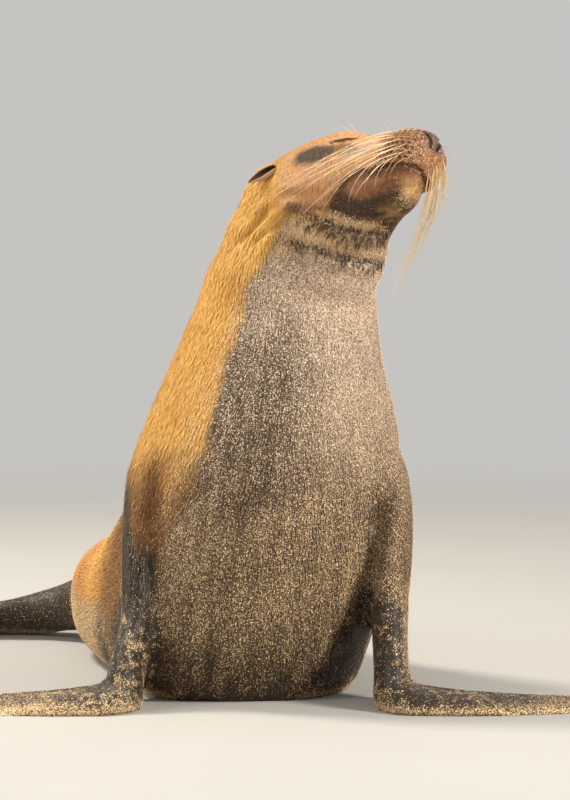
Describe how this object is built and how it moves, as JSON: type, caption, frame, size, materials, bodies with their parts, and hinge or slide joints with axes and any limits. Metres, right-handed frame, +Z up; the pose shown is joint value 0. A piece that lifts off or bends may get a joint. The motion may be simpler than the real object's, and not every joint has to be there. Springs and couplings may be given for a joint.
{
  "type": "sea lion",
  "caption": "Life-size still model of a young adult female sea lion sitting upright on its belly, chest raised, head turned to its left, eyes closed, fore flippers laid out flat.",
  "frame": {"origin": "on the floor under the front of the belly, on the flat that the animal rests on", "axes": "+Z up; the animal faces -Y and its left side is +X; the tail points to +Y"},
  "size_m": [1.0268, 1.07, 0.7124],
  "materials": {
    "coat": "short dry golden-brown fur, lying flat",
    "sandy_coat": "short wet grey-brown fur covered in fine pale sand",
    "flipper_skin": "nearly black bare skin with a dusting of sand",
    "nose_skin": "dark, slightly moist, pebbled skin",
    "eyelid": "short fur over the closed lid, dark along the slit",
    "ear_skin": "thin furred skin, dark inside the roll"
  },
  "bodies": {
    "root": {"head": "coat", "jaw": "coat", "nose": "nose_skin", "eye_left": "eyelid", "ear_left": "ear_skin", "eye_right": "eyelid", "ear_right": "ear_skin", "tail": "coat", "hips": "coat", "abdomen": "coat", "chest": "sandy_coat", "neck": "coat", "upper_arm_right": "coat", "forearm_right": "flipper_skin", "fore_flipper_right": "flipper_skin", "upper_arm_left": "coat", "forearm_left": "flipper_skin", "fore_flipper_left": "flipper_skin", "hind_leg_right": "coat", "hind_flipper_right": "flipper_skin", "hind_leg_left": "coat", "hind_flipper_left": "flipper_skin"}
  },
  "joints": []
}
